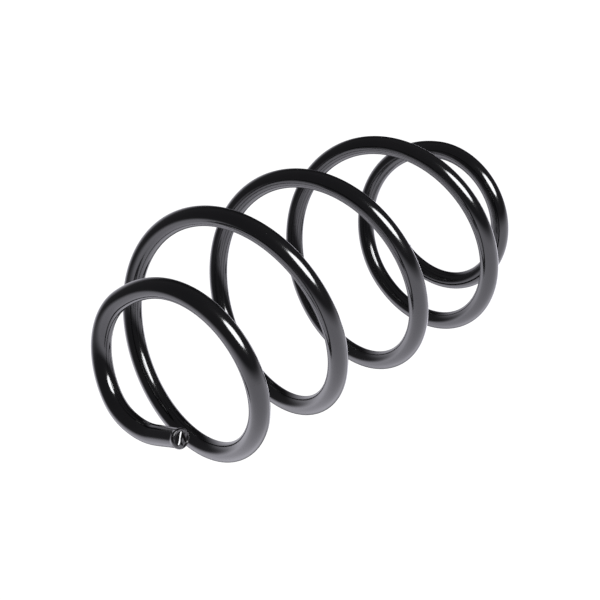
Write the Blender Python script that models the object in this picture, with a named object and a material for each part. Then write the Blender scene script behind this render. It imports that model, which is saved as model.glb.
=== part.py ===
"""Front suspension coil spring with a reduced coil at each end, standing on its lower end.

One round bar is wound right-handed about +Z. The bar is modelled as short arcs that meet at
planes square to it, because a coil spring gives by the twisting of its bar: each arc turns
against the one below about the bar's own centreline, where they meet.
"""

import math

import bmesh
import bpy
from mathutils import Matrix, Vector

# Driving dimensions: metres, turns of the coil and, for PITCH, metres of climb in one turn.
BAR_DIAMETER = 0.0120
TURNS = 5.2

# The bar runs a little past the first and the last turn count. Its upper end was never bent, so
# that a short length leaves the coil along a straight line.
BAR_START_TURN = -0.020
STRAIGHT_FROM_TURN = 5.151
BAR_END_TURN = 5.236

# Coil radii are measured to the bar's centreline. The body widens slightly towards its foot,
# and its two radii are the ones that it would reach at its ends without the reduced coils.
LOWER_BODY_RADIUS = 0.0719
UPPER_BODY_RADIUS = 0.0681
LOWER_END_RADIUS = 0.0504
UPPER_END_RADIUS = 0.0402
LOWER_END_TURNS = 0.62
UPPER_END_TURNS = 0.49
LOWER_FLARE_TURNS = 0.38
UPPER_FLARE_TURNS = 0.42

# The climb is nil along the lower seat, then full, and eases to the upper coil's own lead.
BODY_PITCH = 0.0773
UPPER_END_PITCH = 0.0441
LOWER_SEAT_TURNS = 0.60
LOWER_RISE_TURNS = 0.37
UPPER_EASE_START_TURNS = 0.95
UPPER_EASE_TURNS = 0.59
UPPER_SEAT_TURNS = 0.13
UPPER_SEAT_EASE_TURNS = 0.10

# Where the bar is divided so that it can flex.
FIRST_JOINT_TURN = 0.70
ARCS_PER_TURN = 6
JOINTS = 24
JOINT_GAP = 0.0003

# Fineness of the model: flats round the bar and stations along each turn.
BAR_SIDES = 12
STATIONS_PER_TURN = 48

COATING_COLOUR = (0.012, 0.012, 0.014, 1.0)
COATING_ROUGHNESS = 0.22
SHARP_EDGE_DEGREES = 50.0

# A polygon with the round bar's own area, with a flat at its foot and at its top.
SIDE_ANGLE = 2 * math.pi / BAR_SIDES
BAR_CORNER_RADIUS = BAR_DIAMETER / 2 * math.sqrt(SIDE_ANGLE / math.sin(SIDE_ANGLE))
BAR_FLAT_RADIUS = BAR_CORNER_RADIUS * math.cos(SIDE_ANGLE / 2)


def ease(x):
    """A smooth step from 0 to 1."""
    x = min(max(x, 0.0), 1.0)
    return x * x * (3 - 2 * x)


def eased_length(turn, start, length):
    """The integral of the smooth step that starts at one turn and takes a length of turns."""
    x = (turn - start) / length
    if x <= 0:
        return 0.0
    if x >= 1:
        return length * (x - 0.5)
    return length * (x**3 - x**4 / 2)


def coil_radius(turn):
    """The coil's radius at a number of turns up from its lower end."""
    share = turn / TURNS
    radius = LOWER_BODY_RADIUS + (UPPER_BODY_RADIUS - LOWER_BODY_RADIUS) * share
    below = 1 - ease((turn - LOWER_END_TURNS) / LOWER_FLARE_TURNS)
    above = 1 - ease((TURNS - turn - UPPER_END_TURNS) / UPPER_FLARE_TURNS)
    radius -= (LOWER_BODY_RADIUS - LOWER_END_RADIUS) * below
    radius -= (UPPER_BODY_RADIUS - UPPER_END_RADIUS) * above
    unbent = 2 * math.pi * max(0.0, turn - STRAIGHT_FROM_TURN)
    return radius / math.cos(unbent)


def coil_height(turn):
    """The height of the bar's centreline, with the lower coil's flats at height 0."""
    ease_end = TURNS - UPPER_EASE_START_TURNS - UPPER_EASE_TURNS
    seat_end = TURNS - UPPER_SEAT_TURNS - UPPER_SEAT_EASE_TURNS
    climb = BODY_PITCH * eased_length(turn, LOWER_SEAT_TURNS, LOWER_RISE_TURNS)
    climb -= (BODY_PITCH - UPPER_END_PITCH) * eased_length(turn, ease_end, UPPER_EASE_TURNS)
    climb -= UPPER_END_PITCH * eased_length(turn, seat_end, UPPER_SEAT_EASE_TURNS)
    return BAR_FLAT_RADIUS + climb


def centreline(turn):
    """The bar's centreline, which passes over the +X axis at the last full turn count."""
    angle = 2 * math.pi * (turn - TURNS)
    radius = coil_radius(turn)
    return Vector((radius * math.cos(angle), radius * math.sin(angle), coil_height(turn)))


def tangent(turn):
    """The bar's direction, upwards along the coil."""
    step = 1e-4
    return (centreline(turn + step) - centreline(turn - step)).normalized()


def section_frame(turn, shift=0.0):
    """The bar's section at a turn: local X points away from the axis and Z along the bar."""
    along = tangent(turn)
    point = centreline(turn)
    outward = Vector((point.x, point.y, 0.0))
    outward = (outward - along * outward.dot(along)).normalized()
    across = along.cross(outward)
    frame = Matrix((outward, across, along)).transposed().to_4x4()
    frame.translation = point + along * shift
    return frame


def section_corners(frame):
    """The corners of the bar's section, with one flat across each local axis."""
    corners = []
    for side in range(BAR_SIDES):
        angle = (side + 0.5) * SIDE_ANGLE
        local = Vector((math.cos(angle), math.sin(angle), 0.0)) * BAR_CORNER_RADIUS
        corners.append(frame @ local)
    return corners


def arc_frames(start, end, start_gap, end_gap):
    """Section frames along an arc, drawn back from the joint planes at its ends."""
    stations = max(2, round((end - start) * STATIONS_PER_TURN))
    frames = [section_frame(start, start_gap)]
    for station in range(1, stations):
        frames.append(section_frame(start + (end - start) * station / stations))
    frames.append(section_frame(end, -end_gap))
    return frames


def coating(name):
    """The glossy black coat, as this sub-part's own material."""
    material = bpy.data.materials.new(name + "_coating")
    material.use_nodes = True
    shader = material.node_tree.nodes["Principled BSDF"]
    shader.inputs["Base Color"].default_value = COATING_COLOUR
    shader.inputs["Roughness"].default_value = COATING_ROUGHNESS
    shader.inputs["Metallic"].default_value = 0.0
    return material


def bar_mesh(name, frames, origin):
    """A closed length of bar through section frames, in coordinates about its origin."""
    work = bmesh.new()
    rings = []
    for frame in frames:
        rings.append([work.verts.new(corner - origin) for corner in section_corners(frame)])
    for lower, upper in zip(rings, rings[1:]):
        for side in range(BAR_SIDES):
            after = (side + 1) % BAR_SIDES
            work.faces.new((lower[side], lower[after], upper[after], upper[side]))
    work.faces.new(tuple(reversed(rings[0])))
    work.faces.new(tuple(rings[-1]))
    bmesh.ops.recalc_face_normals(work, faces=work.faces[:])
    mesh = bpy.data.meshes.new(name)
    work.to_mesh(mesh)
    work.free()
    mesh.shade_smooth()
    mesh.set_sharp_from_angle(angle=math.radians(SHARP_EDGE_DEGREES))
    return mesh


def make_bar(name, start, end, below):
    """One rigid length of the bar. Its origin is the joint at its lower end, on the centreline."""
    first, last = below is None, end >= BAR_END_TURN
    origin = Vector((0.0, 0.0, 0.0)) if first else centreline(start)
    start_gap = 0.0 if first else JOINT_GAP / 2
    end_gap = 0.0 if last else JOINT_GAP / 2
    mesh = bar_mesh(name, arc_frames(start, end, start_gap, end_gap), origin)
    mesh.materials.append(coating(name))
    bar = bpy.data.objects.new(name, mesh)
    bpy.context.scene.collection.objects.link(bar)
    bar.location = origin
    if below is not None:
        bpy.context.view_layer.update()
        bar.parent = below
        bar.matrix_parent_inverse = below.matrix_world.inverted()
    return bar


def arc_name(joint):
    """The name of the arc above a joint, counted in turns from the lower end."""
    return f"turn{joint // ARCS_PER_TURN + 1}_arc{joint % ARCS_PER_TURN + 1}"


def main():
    """Clears the scene and builds the spring from its lower end to its upper end."""
    for item in list(bpy.data.objects):
        bpy.data.objects.remove(item, do_unlink=True)
    cuts = [FIRST_JOINT_TURN + joint / ARCS_PER_TURN for joint in range(JOINTS)]
    bar = make_bar("lower_end_coil", BAR_START_TURN, cuts[0], None)
    for joint in range(JOINTS - 1):
        bar = make_bar(arc_name(joint), cuts[joint], cuts[joint + 1], bar)
    make_bar("upper_end_coil", cuts[-1], BAR_END_TURN, bar)


main()
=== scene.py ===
"""The looks of a black-coated front suspension coil spring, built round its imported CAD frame.

Each rigid length of bar in the frame gets a round, finely divided length of the same bar, which
rides on the same body. Lengths end at planes square to the bar, and a joint turns about the
bar's own centreline there, so that the bar runs straight on through a joint as it turns.
"""

import math

import bpy
from mathutils import Matrix, Vector


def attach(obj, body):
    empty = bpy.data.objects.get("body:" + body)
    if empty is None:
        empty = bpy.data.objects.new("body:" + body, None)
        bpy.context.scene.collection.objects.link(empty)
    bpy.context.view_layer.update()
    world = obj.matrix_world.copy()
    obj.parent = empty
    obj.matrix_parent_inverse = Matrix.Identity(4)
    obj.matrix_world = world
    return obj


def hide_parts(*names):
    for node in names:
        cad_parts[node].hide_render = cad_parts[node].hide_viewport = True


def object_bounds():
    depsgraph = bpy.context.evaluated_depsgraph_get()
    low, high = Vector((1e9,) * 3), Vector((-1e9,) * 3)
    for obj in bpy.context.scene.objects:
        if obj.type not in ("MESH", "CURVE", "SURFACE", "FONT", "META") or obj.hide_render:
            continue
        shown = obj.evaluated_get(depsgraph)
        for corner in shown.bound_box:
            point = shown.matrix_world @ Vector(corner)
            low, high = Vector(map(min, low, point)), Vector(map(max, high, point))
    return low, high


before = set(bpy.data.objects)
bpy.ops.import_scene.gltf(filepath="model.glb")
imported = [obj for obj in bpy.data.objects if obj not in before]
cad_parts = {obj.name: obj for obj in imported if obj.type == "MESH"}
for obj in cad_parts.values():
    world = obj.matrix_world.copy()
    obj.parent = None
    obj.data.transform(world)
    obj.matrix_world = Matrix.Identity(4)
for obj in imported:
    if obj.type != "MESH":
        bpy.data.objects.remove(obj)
cad_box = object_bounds()
scene = bpy.context.scene

# They began as a fit to the spring's outline in the photograph.
CAMERA_AZIMUTH = -178.34
CAMERA_ELEVATION = 40.618
CAMERA_ROLL = 117.298
CAMERA_DISTANCE = 0.7417
CAMERA_LENS = 68.46
AIM_FROM_MIDDLE = (0.0073, -0.0063, 0.0076)

# The bar is drawn round, in metres. The flats of the frame's 12-sided bar lie just inside this
# radius and its corners just outside.
BAR_RADIUS = 0.0061

# The coil's line, in metres and turns: the frame's own driving dimensions.
TURNS = 5.2
BAR_START_TURN = -0.020
STRAIGHT_FROM_TURN = 5.151
BAR_END_TURN = 5.236
LOWER_BODY_RADIUS = 0.0719
UPPER_BODY_RADIUS = 0.0681
LOWER_END_RADIUS = 0.0504
UPPER_END_RADIUS = 0.0402
LOWER_END_TURNS = 0.62
UPPER_END_TURNS = 0.49
LOWER_FLARE_TURNS = 0.38
UPPER_FLARE_TURNS = 0.42
BODY_PITCH = 0.0773
UPPER_END_PITCH = 0.0441
LOWER_SEAT_TURNS = 0.60
LOWER_RISE_TURNS = 0.37
UPPER_EASE_START_TURNS = 0.95
UPPER_EASE_TURNS = 0.59
UPPER_SEAT_TURNS = 0.13
UPPER_SEAT_EASE_TURNS = 0.10
FIRST_JOINT_TURN = 0.70
ARCS_PER_TURN = 6
JOINTS = 24

# Fineness: quads round the bar, stations along each turn and rings across a sheared face.
BAR_SIDES = 64
STATIONS_PER_TURN = 300
FACE_RINGS = 16

# Lengths of bar stop just short of their joint planes, by about a hundredth of a millimetre, so
# that their end faces clear each other as they turn.
SEAM_TURNS = 0.00002


# ---------------------------------------------------------------- camera


def look(azimuth, elevation, roll):
    """The camera's rotation for a direction of view and a roll, in degrees."""
    a, e, r = (math.radians(angle) for angle in (azimuth, elevation, roll))
    back = Vector((math.sin(a) * math.cos(e), -math.cos(a) * math.cos(e), math.sin(e)))
    level_up = (Vector((0, 0, 1)) - back * back.z).normalized()
    level_right = level_up.cross(back)
    up = level_up * math.cos(r) + level_right * math.sin(r)
    right = up.cross(back)
    return Matrix((right, up, back)).transposed()


def add_camera():
    """The camera at the photograph's viewing angle."""
    rotation = look(CAMERA_AZIMUTH, CAMERA_ELEVATION, CAMERA_ROLL)
    middle = (cad_box[0] + cad_box[1]) / 2
    aim = Vector((0, 0, middle.z)) + Vector(AIM_FROM_MIDDLE)
    data = bpy.data.cameras.new("camera")
    data.lens = CAMERA_LENS
    data.clip_start = 0.01
    data.clip_end = 50.0
    camera = bpy.data.objects.new("camera", data)
    scene.collection.objects.link(camera)
    placed = rotation.to_4x4()
    placed.translation = aim + rotation.col[2] * CAMERA_DISTANCE
    camera.matrix_world = placed
    scene.camera = camera
    return rotation


camera_rotation = add_camera()


# ---------------------------------------------------------------- the bar's line


def ease(x):
    """A smooth step from 0 to 1."""
    x = min(max(x, 0.0), 1.0)
    return x * x * (3 - 2 * x)


def eased_length(turn, start, length):
    """The integral of the smooth step that starts at one turn and takes a length of turns."""
    x = (turn - start) / length
    if x <= 0:
        return 0.0
    if x >= 1:
        return length * (x - 0.5)
    return length * (x**3 - x**4 / 2)


def coil_radius(turn):
    """The coil's radius at a number of turns up from its lower end."""
    share = turn / TURNS
    radius = LOWER_BODY_RADIUS + (UPPER_BODY_RADIUS - LOWER_BODY_RADIUS) * share
    below = 1 - ease((turn - LOWER_END_TURNS) / LOWER_FLARE_TURNS)
    above = 1 - ease((TURNS - turn - UPPER_END_TURNS) / UPPER_FLARE_TURNS)
    radius -= (LOWER_BODY_RADIUS - LOWER_END_RADIUS) * below
    radius -= (UPPER_BODY_RADIUS - UPPER_END_RADIUS) * above
    unbent = 2 * math.pi * max(0.0, turn - STRAIGHT_FROM_TURN)
    return radius / math.cos(unbent)


def coil_climb(turn):
    """How far the bar has climbed from the length that lies flat at the lower end."""
    ease_end = TURNS - UPPER_EASE_START_TURNS - UPPER_EASE_TURNS
    seat_end = TURNS - UPPER_SEAT_TURNS - UPPER_SEAT_EASE_TURNS
    climb = BODY_PITCH * eased_length(turn, LOWER_SEAT_TURNS, LOWER_RISE_TURNS)
    climb -= (BODY_PITCH - UPPER_END_PITCH) * eased_length(turn, ease_end, UPPER_EASE_TURNS)
    climb -= UPPER_END_PITCH * eased_length(turn, seat_end, UPPER_SEAT_EASE_TURNS)
    return climb


# The frame's height less the whole climb is the bar's thickness, half of it below the line.
SEAT_HEIGHT = cad_box[0].z + (cad_box[1].z - cad_box[0].z - coil_climb(TURNS)) / 2


def centreline(turn):
    """The bar's centreline, which passes over the +X axis at the last full turn count."""
    angle = 2 * math.pi * (turn - TURNS)
    radius = coil_radius(turn)
    height = SEAT_HEIGHT + coil_climb(turn)
    return Vector((radius * math.cos(angle), radius * math.sin(angle), height))


def section(turn):
    """The bar's section at a turn: its middle, and directions outward, across and along."""
    step = 1e-4
    along = (centreline(turn + step) - centreline(turn - step)).normalized()
    point = centreline(turn)
    outward = Vector((point.x, point.y, 0.0))
    outward = (outward - along * outward.dot(along)).normalized()
    return point, outward, along.cross(outward), along


# ---------------------------------------------------------------- lengths of bar

# How a sheared tip closes: depth back from the face and radius, in bar radii. The blade spreads
# the face over a slight neck, and the coat rounds the edge.
TIP_PROFILE = (
    (0.60, 0.930),
    (0.50, 0.936),
    (0.40, 0.958),
    (0.31, 0.986),
    (0.22, 1.000),
    (0.15, 0.998),
    (0.09, 0.984),
    (0.05, 0.964),
    (0.02, 0.940),
    (0.00, 0.905),
)

# The bar draws in towards a sheared tip over this length, in turns, as the blade pulls it.
NECK_TURNS = 0.07

# Which way the cut crosses each sheared face, in radians from the coil's outside.
LOWER_FACE_TURNED = 2.1
UPPER_FACE_TURNED = 0.7

# The cut's marks, in bar radii. Their starts and lengths are measured the way the cut goes, and
# the rim's outward from the middle of the face.
LIP_HEIGHT = 0.07
LIP_WIDTH = 0.10
LIP_OFFSET = 0.10
LIP_WANDER = 0.12
HOLLOW_DEPTH = 0.16
HOLLOW_START = -0.05
HOLLOW_LENGTH = 0.95
BREAK_HEIGHT = 0.016
BREAK_START = -0.15
BREAK_LENGTH = 0.30
SLANT = 0.14
RIM_START = 0.66
RIM_LENGTH = 0.24


def face_relief(x, y, turned):
    """How far a sheared face stands out at a point across it, in bar radii.

    Half the face is a smooth shear mark and the rest a coarser break, with a lip between. The
    whole of it slants a little, as the bar gives way under the blade.
    """
    u = x * math.cos(turned) + y * math.sin(turned)
    v = y * math.cos(turned) - x * math.sin(turned)
    from_lip = u + LIP_OFFSET + LIP_WANDER * math.sin(2.3 * v)
    lip = LIP_HEIGHT * math.exp(-((from_lip / LIP_WIDTH) ** 2))
    hollow = -HOLLOW_DEPTH * ease((u - HOLLOW_START) / HOLLOW_LENGTH)
    coarse = BREAK_HEIGHT * math.sin(9 * u + 3 * v) * math.sin(7 * v - 4 * u + 1)
    coarse *= ease((u - BREAK_START) / BREAK_LENGTH)
    rim = 1 - ease((math.hypot(x, y) - RIM_START) / RIM_LENGTH)
    return (lip + hollow + coarse + SLANT * x) * rim


class Length:
    """The points, faces and side normals of one closed length of bar."""

    def __init__(self):
        self.points = []
        self.faces = []
        self.side_normals = {}

    def ring(self, middle, outward, across, radius, plain=True):
        """A ring of points round a section. Plain rings face straight out from the line."""
        first = len(self.points)
        for side in range(BAR_SIDES):
            angle = 2 * math.pi * side / BAR_SIDES
            away = outward * math.cos(angle) + across * math.sin(angle)
            self.points.append(middle + away * radius)
            if plain:
                self.side_normals[first + side] = away
        return first

    def join(self, lower, upper):
        """Quads between two rings, the second one further along the bar."""
        for side in range(BAR_SIDES):
            after = (side + 1) % BAR_SIDES
            self.faces.append((lower + side, lower + after, upper + after, upper + side))

    def close(self, ring, middle, outward, across, along, way, radius, turned):
        """Closes an end: flat at a joint plane, or with a sheared face at a tip."""
        rings = [ring]
        count = 2 if turned is None else FACE_RINGS
        for step in range(1, count):
            share = 1 - step / count
            first = len(self.points)
            for side in range(BAR_SIDES):
                angle = 2 * math.pi * side / BAR_SIDES
                x, y = radius * share * math.cos(angle), radius * share * math.sin(angle)
                point = middle + outward * x + across * y
                if turned is not None:
                    rise = face_relief(x / BAR_RADIUS, y / BAR_RADIUS, turned)
                    point += along * (way * rise * BAR_RADIUS)
                self.points.append(point)
            rings.append(first)
        hub = len(self.points)
        rise = 0.0 if turned is None else face_relief(0.0, 0.0, turned)
        self.points.append(middle + along * (way * rise * BAR_RADIUS))
        for outer, inner in zip(rings, rings[1:]):
            if way > 0:
                self.join(outer, inner)
            else:
                self.join(inner, outer)
        last = rings[-1]
        for side in range(BAR_SIDES):
            after = (side + 1) % BAR_SIDES
            face = (last + side, last + after, hub)
            self.faces.append(face if way > 0 else face[::-1])


def tip_turns(turn):
    """The share of a turn that a tip's rounded end takes up."""
    return TIP_PROFILE[0][0] * BAR_RADIUS / (2 * math.pi * coil_radius(turn))


def bar_radius(turn):
    """The bar's radius, which draws in slightly just behind each sheared tip."""
    reach = min(turn - BAR_START_TURN, BAR_END_TURN - turn) / NECK_TURNS
    return BAR_RADIUS * (TIP_PROFILE[0][1] + (1 - TIP_PROFILE[0][1]) * ease(reach - 0.1))


def build_length(name, start, end):
    """The mesh of one length of bar, from one joint plane or tip to the next."""
    shape = Length()
    at_lower_tip = start <= BAR_START_TURN
    at_upper_tip = end >= BAR_END_TURN
    first_plain = start + (tip_turns(start) if at_lower_tip else SEAM_TURNS)
    last_plain = end - (tip_turns(end) if at_upper_tip else SEAM_TURNS)
    rings = []
    if at_lower_tip:
        middle, outward, across, along = section(start)
        for depth, size in TIP_PROFILE[:0:-1]:
            place = middle + along * (depth * BAR_RADIUS)
            rings.append(shape.ring(place, outward, across, size * BAR_RADIUS, plain=False))
    stations = max(2, round((last_plain - first_plain) * STATIONS_PER_TURN))
    for station in range(stations + 1):
        turn = first_plain + (last_plain - first_plain) * station / stations
        middle, outward, across, along = section(turn)
        rings.append(shape.ring(middle, outward, across, bar_radius(turn)))
    if at_upper_tip:
        middle, outward, across, along = section(end)
        for depth, size in TIP_PROFILE[1:]:
            place = middle - along * (depth * BAR_RADIUS)
            rings.append(shape.ring(place, outward, across, size * BAR_RADIUS, plain=False))
    for lower, upper in zip(rings, rings[1:]):
        shape.join(lower, upper)
    tip_radius = TIP_PROFILE[-1][1] * BAR_RADIUS
    if at_lower_tip:
        shape.close(rings[0], *section(start), -1, tip_radius, LOWER_FACE_TURNED)
    else:
        shape.close(rings[0], *section(first_plain), -1, BAR_RADIUS, None)
    if at_upper_tip:
        shape.close(rings[-1], *section(end), 1, tip_radius, UPPER_FACE_TURNED)
    else:
        shape.close(rings[-1], *section(last_plain), 1, BAR_RADIUS, None)
    return finished_mesh(name, shape)


def finished_mesh(name, shape):
    """A smooth mesh whose plain sides face straight out from the bar's line, even at joints."""
    mesh = bpy.data.meshes.new(name)
    mesh.from_pydata([tuple(p) for p in shape.points], [], shape.faces)
    mesh.shade_smooth()
    mesh.update()
    normals = [tuple(n.vector) for n in mesh.vertex_normals]
    for index, away in shape.side_normals.items():
        normals[index] = tuple(away)
    mesh.normals_split_custom_set_from_vertices(normals)
    return mesh


# ---------------------------------------------------------------- the coat

# Features of each texture in a metre, and the heights of the two that stand out, in metres.
DRIFT_SCALE = 38.0
PEEL_SCALE = 420.0
GRAIN_SCALE = 3200.0
NIB_SCALE = 240.0
PEEL_HEIGHT = 0.000016
GRAIN_HEIGHT = 0.000004

# Between these two the coat drifts, and dust settles on it.
DARKEST_COAT = (0.0005, 0.0005, 0.0006, 1)
PALEST_COAT = (0.0011, 0.0010, 0.0011, 1)
DUST_COLOUR = (0.012, 0.0115, 0.011, 1)
GLOSSIEST = 0.11
DULLEST = 0.17


def node(tree, kind, **values):
    """A shader node with some of its inputs set by name."""
    made = tree.nodes.new(kind)
    for name, value in values.items():
        made.inputs[name.replace("_", " ")].default_value = value
    return made


def remap(tree, source, low, high, to_low, to_high):
    """A value carried from one range to another, held inside the second one."""
    made = node(tree, "ShaderNodeMapRange")
    made.inputs["From Min"].default_value = low
    made.inputs["From Max"].default_value = high
    made.inputs["To Min"].default_value = to_low
    made.inputs["To Max"].default_value = to_high
    tree.links.new(source, made.inputs["Value"])
    return made.outputs["Result"]


def powder_coat():
    """Glossy black coat: orange peel, a slow drift in shade and gloss, fine grain and dust."""
    material = bpy.data.materials.new("black_powder_coat")
    material.use_nodes = True
    tree = material.node_tree
    shader = tree.nodes["Principled BSDF"]
    shader.inputs["Metallic"].default_value = 0.0
    shader.inputs["IOR"].default_value = 1.5
    shader.inputs["Coat Weight"].default_value = 0.35
    shader.inputs["Coat Roughness"].default_value = 0.06
    place = node(tree, "ShaderNodeTexCoord").outputs["Object"]

    drift = node(tree, "ShaderNodeTexNoise", Scale=DRIFT_SCALE, Detail=3.0, Roughness=0.55)
    peel = node(tree, "ShaderNodeTexNoise", Scale=PEEL_SCALE, Detail=1.0, Roughness=0.4)
    grain = node(tree, "ShaderNodeTexNoise", Scale=GRAIN_SCALE, Detail=2.0, Roughness=0.6)
    nibs = node(tree, "ShaderNodeTexVoronoi", Scale=NIB_SCALE, Randomness=1.0)
    for texture in (drift, peel, grain, nibs):
        tree.links.new(place, texture.inputs["Vector"])

    colour = tree.nodes.new("ShaderNodeValToRGB")
    colour.color_ramp.elements[0].position = 0.30
    colour.color_ramp.elements[0].color = DARKEST_COAT
    colour.color_ramp.elements[1].position = 0.72
    colour.color_ramp.elements[1].color = PALEST_COAT
    tree.links.new(drift.outputs["Fac"], colour.inputs["Fac"])
    dust = remap(tree, nibs.outputs["Distance"], 0.03, 0.07, 0.5, 0.0)
    speck = tree.nodes.new("ShaderNodeMix")
    speck.data_type = "RGBA"
    tree.links.new(dust, speck.inputs["Factor"])
    tree.links.new(colour.outputs["Color"], speck.inputs["A"])
    speck.inputs["B"].default_value = DUST_COLOUR
    tree.links.new(speck.outputs["Result"], shader.inputs["Base Color"])

    sheen = remap(tree, drift.outputs["Fac"], 0.30, 0.70, GLOSSIEST, DULLEST)
    rough = tree.nodes.new("ShaderNodeMath")
    rough.operation = "MULTIPLY_ADD"
    tree.links.new(grain.outputs["Fac"], rough.inputs[0])
    rough.inputs[1].default_value = 0.01
    tree.links.new(sheen, rough.inputs[2])
    tree.links.new(rough.outputs[0], shader.inputs["Roughness"])

    first = node(tree, "ShaderNodeBump", Strength=0.15, Distance=PEEL_HEIGHT)
    tree.links.new(peel.outputs["Fac"], first.inputs["Height"])
    second = node(tree, "ShaderNodeBump", Strength=0.03, Distance=GRAIN_HEIGHT)
    tree.links.new(grain.outputs["Fac"], second.inputs["Height"])
    tree.links.new(first.outputs["Normal"], second.inputs["Normal"])
    tree.links.new(second.outputs["Normal"], shader.inputs["Normal"])
    return material


# ---------------------------------------------------------------- the spring


def body_names():
    """The frame's nodes from the lower end to the upper end, one on each body."""
    arcs = [f"turn{k // ARCS_PER_TURN + 1}_arc{k % ARCS_PER_TURN + 1}" for k in range(JOINTS - 1)]
    return ["lower_end_coil", *arcs, "upper_end_coil"]


def build_spring():
    """Every length of bar, each on its own body and in place of its CAD node."""
    coat = powder_coat()
    cuts = [FIRST_JOINT_TURN + joint / ARCS_PER_TURN for joint in range(JOINTS)]
    edges = [BAR_START_TURN, *cuts, BAR_END_TURN]
    for name, start, end in zip(body_names(), edges, edges[1:]):
        mesh = build_length(name + "_bar", start, end)
        mesh.materials.append(coat)
        bar = bpy.data.objects.new(name + "_bar", mesh)
        scene.collection.objects.link(bar)
        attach(bar, name)
        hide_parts(name)


build_spring()


# ---------------------------------------------------------------- studio

# The backdrop, in metres: a flat floor, a round sweep up from it and a dome over both. Its glow
# is white near the middle and fades to a pale grey between two distances from there.
FLOOR_RADIUS = 1.4
SWEEP_RADIUS = 1.4
DOME_RISE = 2.0
CURVE_STEPS = 24
BACKDROP_SIDES = 96
FADE_START = 1.25
FADE_END = 1.9
PALE_GLOW = 0.55

# The room's own brightness, straight ahead of the camera and then how much more elsewhere.
ROOM_TINT = (0.92, 0.905, 1.0, 1)
ROOM_AHEAD = 0.03
ROOM_ELSEWHERE = 0.12

# The picture's own level: the spring lies on its side in it, with its axis in the table.
STUDIO_RIGHT = camera_rotation.col[0].copy()
STUDIO_UP = Vector((0, 0, 1)).cross(STUDIO_RIGHT).normalized()
STUDIO_FORWARD = STUDIO_UP.cross(STUDIO_RIGHT)


def studio_direction(azimuth, elevation):
    """A direction at angles in the picture's own level, in degrees.

    Azimuth counts from straight ahead of the camera towards its right.
    """
    a, e = math.radians(azimuth), math.radians(elevation)
    level = STUDIO_RIGHT * math.sin(a) + STUDIO_FORWARD * math.cos(a)
    return level * math.cos(e) + STUDIO_UP * math.sin(e)


def add_softbox(azimuth, elevation, distance, wide, high, radiance, tint):
    """The key light: an oval softbox that faces the spring. Its width and height are the angles
    that they take up seen from there.
    """
    outward = studio_direction(azimuth, elevation)
    upward = (STUDIO_UP - outward * outward.dot(STUDIO_UP)).normalized()
    data = bpy.data.lights.new("key_softbox", "AREA")
    data.shape = "ELLIPSE"
    data.size = 2 * distance * math.tan(math.radians(wide / 2))
    data.size_y = 2 * distance * math.tan(math.radians(high / 2))
    data.energy = math.pi * radiance * math.pi / 4 * data.size * data.size_y
    data.color = tint
    softbox = bpy.data.objects.new("key_softbox", data)
    scene.collection.objects.link(softbox)
    rotation = Matrix((upward.cross(outward), upward, outward)).transposed()
    placed = rotation.to_4x4()
    placed.translation = Vector((0, 0, SEAT_HEIGHT + coil_climb(TURNS) / 2)) + outward * distance
    softbox.matrix_world = placed
    softbox.visible_camera = False


def add_backdrop():
    """A white floor that sweeps up into a pale grey dome.

    Its own glow hides the spring's shadow. The gloss does not mirror it, but the room instead.
    """
    profile = [(0.0, 0.0), (FLOOR_RADIUS, 0.0)]
    for step in range(1, CURVE_STEPS + 1):
        angle = math.pi / 2 * step / CURVE_STEPS
        reach = FLOOR_RADIUS + SWEEP_RADIUS * math.sin(angle)
        profile.append((reach, SWEEP_RADIUS - SWEEP_RADIUS * math.cos(angle)))
    for step in range(1, CURVE_STEPS + 1):
        angle = math.pi / 2 * step / CURVE_STEPS
        reach = (FLOOR_RADIUS + SWEEP_RADIUS) * math.cos(angle)
        profile.append((reach, SWEEP_RADIUS + DOME_RISE * math.sin(angle)))
    sides = BACKDROP_SIDES
    points = [(0.0, 0.0, profile[0][1])]
    for radius, height in profile[1:-1]:
        for side in range(sides):
            angle = 2 * math.pi * side / sides
            points.append((radius * math.cos(angle), radius * math.sin(angle), height))
    points.append((0.0, 0.0, profile[-1][1]))
    faces = []
    for side in range(sides):
        after = (side + 1) % sides
        faces.append((0, 1 + side, 1 + after))
        top = len(points) - 1
        last = top - sides
        faces.append((last + after, last + side, top))
    for row in range(len(profile) - 3):
        first = 1 + row * sides
        for side in range(sides):
            after = (side + 1) % sides
            faces.append(
                (first + side, first + sides + side, first + sides + after, first + after)
            )
    mesh = bpy.data.meshes.new("floor")
    mesh.from_pydata(points, [], faces)
    mesh.shade_smooth()
    mesh.update()
    floor = bpy.data.objects.new("floor", mesh)
    floor.location.z = SEAT_HEIGHT - BAR_RADIUS
    scene.collection.objects.link(floor)
    pale = bpy.data.materials.new("pale_floor")
    pale.use_nodes = True
    shader = pale.node_tree.nodes["Principled BSDF"]
    shader.inputs["Base Color"].default_value = (0.10, 0.10, 0.10, 1)
    shader.inputs["Roughness"].default_value = 1.0
    shader.inputs["Specular IOR Level"].default_value = 0.0
    shader.inputs["Emission Color"].default_value = (1, 1, 1, 1)
    distance = pale.node_tree.nodes.new("ShaderNodeVectorMath")
    distance.operation = "LENGTH"
    place = node(pale.node_tree, "ShaderNodeTexCoord").outputs["Object"]
    pale.node_tree.links.new(place, distance.inputs[0])
    length = distance.outputs["Value"]
    fade = remap(pale.node_tree, length, FADE_START, FADE_END, 1.0, PALE_GLOW)
    fade.node.interpolation_type = "SMOOTHSTEP"
    pale.node_tree.links.new(fade, shader.inputs["Emission Strength"])
    mesh.materials.append(pale)
    floor.visible_glossy = False
    floor.visible_shadow = False


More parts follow.
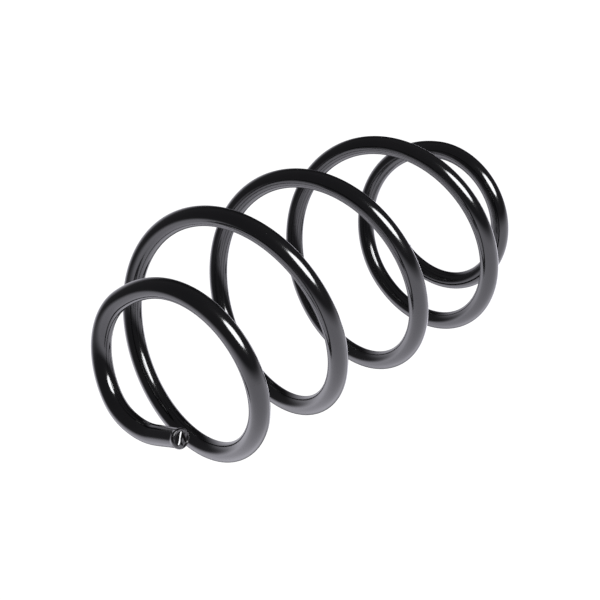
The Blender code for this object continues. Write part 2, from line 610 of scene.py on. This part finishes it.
def calculate(tree, operation, *values):
    """The outcome of a sum on sockets and plain numbers."""
    made = tree.nodes.new("ShaderNodeMath")
    made.operation = operation
    for index, value in enumerate(values):
        if isinstance(value, float):
            made.inputs[index].default_value = value
        else:
            tree.links.new(value, made.inputs[index])
    return made.outputs[0]


def spot(tree, direction, azimuth, elevation, inner, outer, strength):
    """Light from round one direction: full inside an inner angle and none past an outer one.

    The angles are in degrees, and the direction's two count as in studio_direction().
    """
    dot = tree.nodes.new("ShaderNodeVectorMath")
    dot.operation = "DOT_PRODUCT"
    tree.links.new(direction, dot.inputs[0])
    dot.inputs[1].default_value = studio_direction(azimuth, elevation)
    angle = calculate(tree, "ARCCOSINE", dot.outputs["Value"])
    inner, outer = math.radians(inner), math.radians(outer)
    share = remap(tree, angle, inner, outer, strength, 0.0)
    share.node.interpolation_type = "SMOOTHSTEP"
    return share


def light_studio():
    """A softbox behind and above the camera, to its right, and the room that the gloss mirrors.

    The room is dim. A pale table lies below, a wall stands ahead to the left with a corner
    beyond it, and a paler sweep lies ahead to the right. The table and the room's own dim light
    fade out straight ahead. These began as a fit to the greys in the photograph and were then
    set one by one.
    """
    add_softbox(
        azimuth=137.5,
        elevation=45.5,
        distance=1.4,
        wide=39,
        high=32,
        radiance=20.0,
        tint=(0.97, 0.98, 1.0),
    )
    room = bpy.data.worlds.new("room")
    scene.world = room
    room.use_nodes = True
    tree = room.node_tree
    direction = tree.nodes.new("ShaderNodeTexCoord").outputs["Generated"]
    table = spot(tree, direction, azimuth=100, elevation=-80, inner=67, outer=89, strength=1.75)
    ahead = spot(tree, direction, azimuth=0, elevation=-10, inner=34, outer=74, strength=1.0)
    wall = spot(tree, direction, azimuth=-32, elevation=-12, inner=12, outer=40, strength=0.9)
    corner = spot(tree, direction, azimuth=-60, elevation=-27, inner=5, outer=26, strength=0.5)
    sweep = spot(tree, direction, azimuth=28, elevation=-22, inner=12, outer=27, strength=1.8)
    away = calculate(tree, "SUBTRACT", 1.0, ahead)
    table = calculate(tree, "MULTIPLY", table, away)
    dim = calculate(tree, "MULTIPLY_ADD", away, ROOM_ELSEWHERE, ROOM_AHEAD)
    light = calculate(tree, "ADD", table, wall)
    light = calculate(tree, "ADD", light, corner)
    light = calculate(tree, "ADD", light, sweep)
    light = calculate(tree, "ADD", light, dim)
    background = tree.nodes["Background"]
    background.inputs["Color"].default_value = ROOM_TINT
    tree.links.new(light, background.inputs["Strength"])


add_backdrop()
light_studio()
scene.view_settings.view_transform = "Standard"
scene.view_settings.look = "None"
